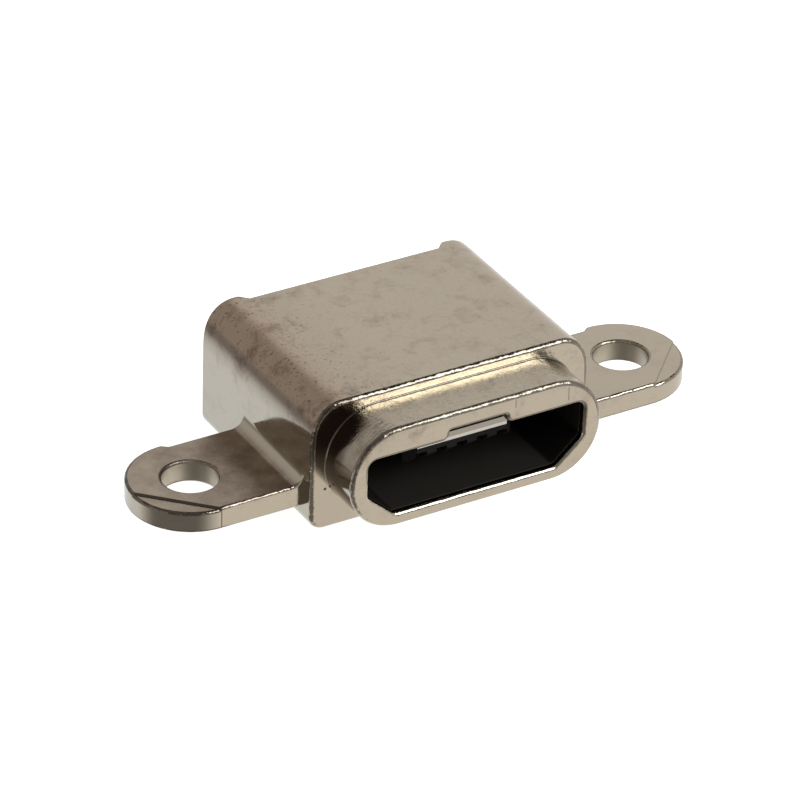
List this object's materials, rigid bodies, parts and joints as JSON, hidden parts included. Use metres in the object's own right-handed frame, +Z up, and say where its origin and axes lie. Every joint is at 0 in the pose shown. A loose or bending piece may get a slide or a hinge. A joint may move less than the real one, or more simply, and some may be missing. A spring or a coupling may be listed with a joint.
{
  "type": "charging port connector",
  "caption": "Metal-shelled charging socket with a racetrack nose, a flat bevelled mouth, a tongue with contacts beneath it, a screw ear on each side and rear solder feet.",
  "frame": {"origin": "on the flat underside of the body, on the centre plane, below the line through the two screw holes", "axes": "+X from ear to ear, the mouth faces -Y, +Z up"},
  "size_m": [0.0178, 0.0089, 0.004],
  "materials": {
    "shell_metal": "nickel plate over cast metal, half gloss",
    "insulator_plastic": "moulded black",
    "plate_steel": "bright strip",
    "seal_resin": "cured resin",
    "contact_metal": "gold flash"
  },
  "bodies": {
    "root": {"shell": "shell_metal", "insulator": "insulator_plastic", "tongue_plate": "plate_steel", "rear_seal": "seal_resin", "contact_1": "contact_metal", "contact_2": "contact_metal", "contact_3": "contact_metal", "contact_4": "contact_metal", "contact_5": "contact_metal"}
  },
  "joints": []
}
